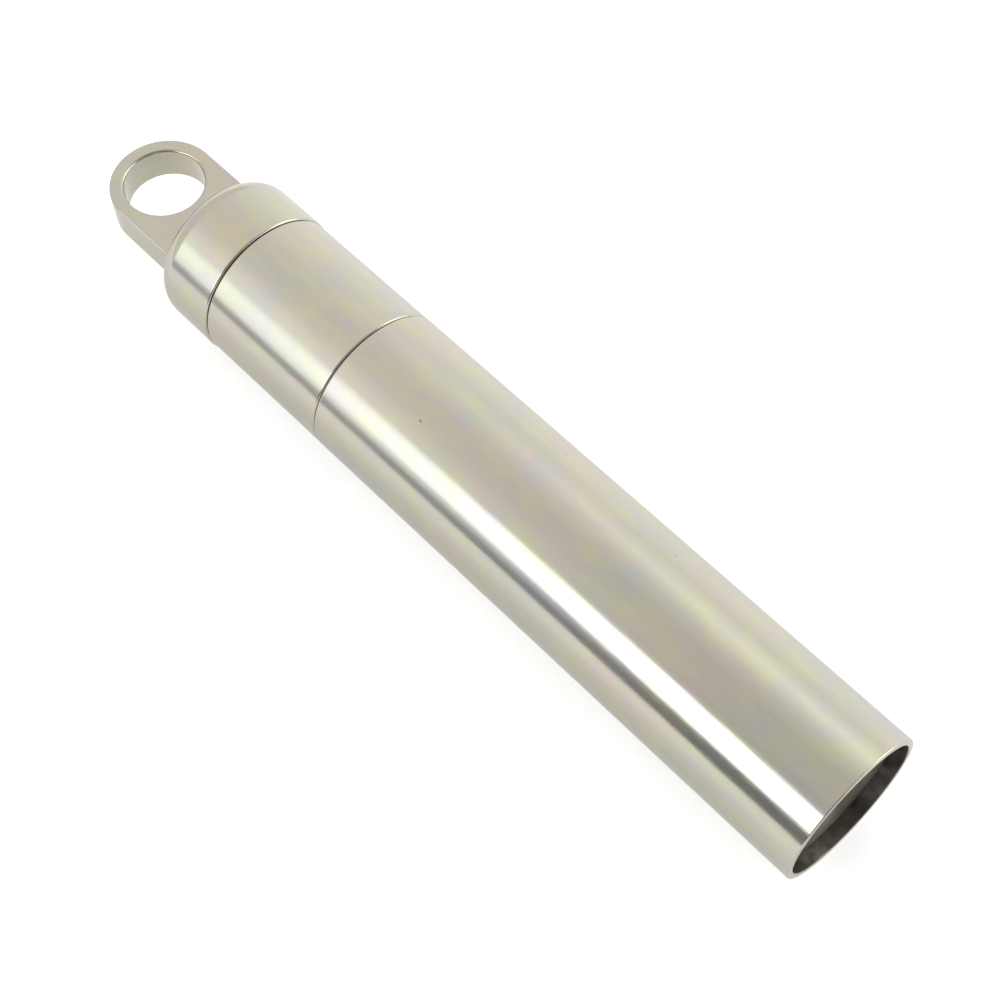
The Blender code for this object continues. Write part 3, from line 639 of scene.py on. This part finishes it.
def message_tube():
    """Plain tube with a lip at its upper end and three pin holes."""
    start, end, radius = span("core_tube")
    obj = turned_mesh("message_tube", [
        (radius, end, 0.2), (radius, start, 0.3), (CORE_BORE, start, 0.3),
        (CORE_BORE, end - CORE_LIP), (CORE_LIP_BORE, end - CORE_LIP, BREAK),
        (CORE_LIP_BORE, end, BREAK)])
    cut(obj, [rod("tool", PIN_HOLE, *pin_line(angle, CORE_BORE - 1, radius + 1))
              for angle in PIN_ANGLES])
    finish_piece(obj, "core", ["core_tube"], [TURNED_STEEL])


def key_pins():
    """Three hardened pins with rounded noses."""
    pin_start, pin_end, _ = span("key_pin_1")
    tip = (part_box("key_pin_1")[1].z - AXIS_POINT.z) / MM
    for number, angle in enumerate(PIN_ANGLES, 1):
        foot, nose = pin_line(angle, CORE_BORE + FIT, tip)
        obj = rod(f"pin_{number}", (pin_end - pin_start) / 2, foot, nose, 32, 0.35)
        finish_piece(obj, "core", [f"key_pin_{number}"], [BLACK_STEEL])


def stopper():
    """Brass push-in stopper with a grooved plug and a finger flange."""
    start, end, flange = span("tube_stopper")
    tube_start, _, _ = span("core_tube")
    seal_start, seal_end, _ = span("stopper_seal")
    seat = tube_start - FIT
    plug = CORE_BORE - FIT
    groove = plug - 2 * SEAL_WIRE
    obj = turned_mesh("stopper", [
        (0, end), (plug, end, 0.5), (plug, seal_end + FIT / 2), (groove, seal_end + FIT / 2),
        (groove, seal_start - FIT / 2), (plug, seal_start - FIT / 2), (plug, seat),
        (flange, seat, 0.2), (flange, start, 0.5), (0, start)])
    finish_piece(obj, "stopper", ["tube_stopper"], [TURNED_BRASS])


barrel()
end_disc()
o_ring("end_disc_seal", "bottom_plug_seal", "barrel")
sleeve()
ring()
gate()
head()
o_ring("head_o_ring", "head_seal", "core")
message_tube()
key_pins()
stopper()
o_ring("stopper_o_ring", "stopper_seal", "stopper")

# Inside pieces that keep their CAD shape
KEPT = {
    TURNED_BRASS: ["sleeve_lock_nut"],
    NYLON: ["dial_bush"],
    BLACK_STEEL: ["ring_snap_ring", "gate_snap_ring", "head_bolt", "head_bolt_washer",
                  "detent_spring_1", "detent_spring_2", "detent_spring_3"],
    TURNED_STEEL: ["sleeve_dowel", "gate_dowel", "core_top_plug",
                   "detent_ball_1", "detent_ball_2", "detent_ball_3"],
}
for look, names in KEPT.items():
    for name in names:
        kept_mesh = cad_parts[name].data
        kept_mesh.materials.clear()
        kept_mesh.materials.append(look)


# ---- Studio -------------------------------------------------------------------------------

TABLE_FRONT = -0.152              # metres
TABLE_BACK = 15.0
TABLE_SIDE = 5.0
LOWEST, HIGHEST = -15, 180        # degrees round the long axis that the ramps run over
COOL_LIGHT = (0.95, 1.0, 1.06)
WARM_LIGHT = (1.005, 1.0, 0.98)


def floor():
    """Plain matt white table with a painted glow from its emission. It glows more away from the
    object, which leaves painted shade on the floor beside it. It also glows more for camera rays
    alone, which whitens its shadows in the picture. Its front edge is out of the picture."""
    mesh = bpy.data.meshes.new("floor")
    body = bmesh.new()
    corners = [(-TABLE_SIDE, TABLE_FRONT), (TABLE_SIDE, TABLE_FRONT), (TABLE_SIDE, TABLE_BACK),
               (-TABLE_SIDE, TABLE_BACK)]
    body.faces.new([body.verts.new((x, y, 0)) for x, y in corners])
    body.to_mesh(mesh)
    body.free()
    obj = new_object("floor", mesh)
    made = bpy.data.materials.new("matt_white_table_painted_glow")
    made.use_nodes = True
    tree = made.node_tree
    shader = tree.nodes["Principled BSDF"]
    shader.inputs["Base Color"].default_value = (0.9, 0.9, 0.9, 1.0)
    shader.inputs["Roughness"].default_value = 0.9
    shader.inputs["Specular IOR Level"].default_value = 0.1
    shader.inputs["Emission Color"].default_value = (1.0, 1.0, 1.0, 1.0)
    place = add(tree, "ShaderNodeTexCoord")
    parts = add(tree, "ShaderNodeSeparateXYZ", {0: place.outputs["Object"]})
    aside = add(tree, "ShaderNodeMath", {0: parts.outputs["Y"]}, operation="ABSOLUTE")
    # painted light: emission that grows with distance across the axis, so the floor next to the
    # object is left as painted shade
    painted_glow_by_distance = add(tree, "ShaderNodeMapRange", {"Value": aside.outputs[0], "From Min": 0.01,
                                            "From Max": 0.06, "To Min": 0.14, "To Max": 0.37})
    # painted light: extra emission seen only by camera rays, which whitens the floor and its
    # shadows
    path = add(tree, "ShaderNodeLightPath")
    painted_floor_glow = add(tree, "ShaderNodeMath", {0: path.outputs["Is Camera Ray"], 1: 0.36,
                                        2: painted_glow_by_distance.outputs["Result"]}, operation="MULTIPLY_ADD")
    tree.links.new(painted_floor_glow.outputs[0], shader.inputs["Emission Strength"])
    mesh.materials.append(made)


def wall_ramp(tree, share, levels):
    """Light levels at angles in degrees round the long axis, from the front horizon up. The
    softbox and the gap under it are a little cooler than the rest of the room."""
    ramp = add(tree, "ShaderNodeValToRGB", {"Fac": share})
    set_ramp(ramp, [((degrees - LOWEST) / (HIGHEST - LOWEST),
                     [level * tint for tint in (COOL_LIGHT if degrees < 40 else WARM_LIGHT)])
                    for degrees, level in levels])
    return ramp.outputs["Color"]


def surround():
    """Pale studio: under the table's front edge it is dim, then a long softbox stands from 10 to
    38 degrees up, a middle grey ceiling, and a brighter back wall. Towards the eye's end the
    softbox fades and the ceiling is lighter, and beyond its end there is a plain white wall. The
    open end faces a dimmer room, bright only low at the back."""
    world = bpy.data.worlds.new("studio")
    bpy.context.scene.world = world
    world.use_nodes = True
    tree = world.node_tree
    tree.nodes.clear()
    toward = add(tree, "ShaderNodeTexCoord")
    parts = add(tree, "ShaderNodeSeparateXYZ", {0: toward.outputs["Generated"]})
    front = add(tree, "ShaderNodeMath", {0: parts.outputs["Y"], 1: -1.0}, operation="MULTIPLY")
    angle = add(tree, "ShaderNodeMath", {0: parts.outputs["Z"], 1: front.outputs[0]},
                operation="ARCTAN2")
    share = add(tree, "ShaderNodeMapRange", {"Value": angle.outputs[0],
                                             "From Min": math.radians(LOWEST),
                                             "From Max": math.radians(HIGHEST)}).outputs["Result"]
    open_end = wall_ramp(tree, share, [(-15, 0.25), (10.2, 0.25), (12.4, 2.7), (38.5, 2.7),
                                       (41, 0.58), (60, 0.7), (92, 0.72), (112, 0.9), (134, 1.32),
                                       (158, 1.03), (180, 1.18)])
    eye_end = wall_ramp(tree, share, [(-15, 0.55), (0, 0.6), (6, 1.5), (20, 1.68), (30, 1.7),
                                      (38, 1.25), (48, 1.22), (70, 0.97), (92, 0.9), (120, 0.95),
                                      (160, 1.1), (180, 1.18)])
    side = add(tree, "ShaderNodeMapRange", {"Value": parts.outputs["X"], "From Min": -0.22,
                                            "From Max": -0.5})
    blend = add(tree, "ShaderNodeMix", {"Factor": side.outputs["Result"], "A": open_end,
                                        "B": eye_end}, data_type="RGBA")
    beyond = add(tree, "ShaderNodeMapRange", {"Value": parts.outputs["X"], "From Min": -0.58,
                                              "From Max": -0.68})
    around = add(tree, "ShaderNodeMix", {"Factor": beyond.outputs["Result"],
                                         "A": blend.outputs["Result"],
                                         "B": (0.88, 0.87, 0.86, 1.0)}, data_type="RGBA")
    beside = wall_ramp(tree, share, [(-15, 0.25), (10, 0.25), (60, 0.32), (100, 0.4), (135, 0.5),
                                     (150, 2.6), (180, 2.6)])
    toward_open = add(tree, "ShaderNodeMapRange", {"Value": parts.outputs["X"], "From Min": 0.02,
                                                   "From Max": 0.35})
    whole = add(tree, "ShaderNodeMix", {"Factor": toward_open.outputs["Result"],
                                        "A": around.outputs["Result"], "B": beside},
                data_type="RGBA")
    light = add(tree, "ShaderNodeBackground", {"Color": whole.outputs["Result"]})
    plain = add(tree, "ShaderNodeBackground", {"Color": (1.0, 1.0, 1.0, 1.0)})
    path = add(tree, "ShaderNodeLightPath")
    seen = add(tree, "ShaderNodeMixShader", {0: path.outputs["Is Camera Ray"],
                                             1: light.outputs[0], 2: plain.outputs[0]})
    add(tree, "ShaderNodeOutputWorld", {"Surface": seen.outputs[0]})


def camera():
    """Looks steeply down at the open end, with the object across the picture."""
    azimuth, elevation, roll = math.radians(48.42), math.radians(59.72), math.radians(2.178)
    distance = 344.32 * MM
    target = Vector((12.31, -0.85, AXIS_POINT.z / MM)) * MM
    back = Vector((math.sin(azimuth) * math.cos(elevation),
                   -math.cos(azimuth) * math.cos(elevation), math.sin(elevation)))
    data = bpy.data.cameras.new("camera")
    data.lens = 70.25
    data.sensor_width = 36.0
    data.clip_start, data.clip_end = 0.01, 20.0
    obj = bpy.data.objects.new("camera", data)
    obj.location = target + back * distance
    obj.rotation_mode = "QUATERNION"
    obj.rotation_quaternion = (-back).to_track_quat("-Z", "Y") @ Matrix.Rotation(
        -roll, 3, "Z").to_quaternion()
    bpy.context.scene.collection.objects.link(obj)
    bpy.context.scene.camera = obj


floor()
surround()
camera()
bpy.context.scene.view_settings.view_transform = "Standard"
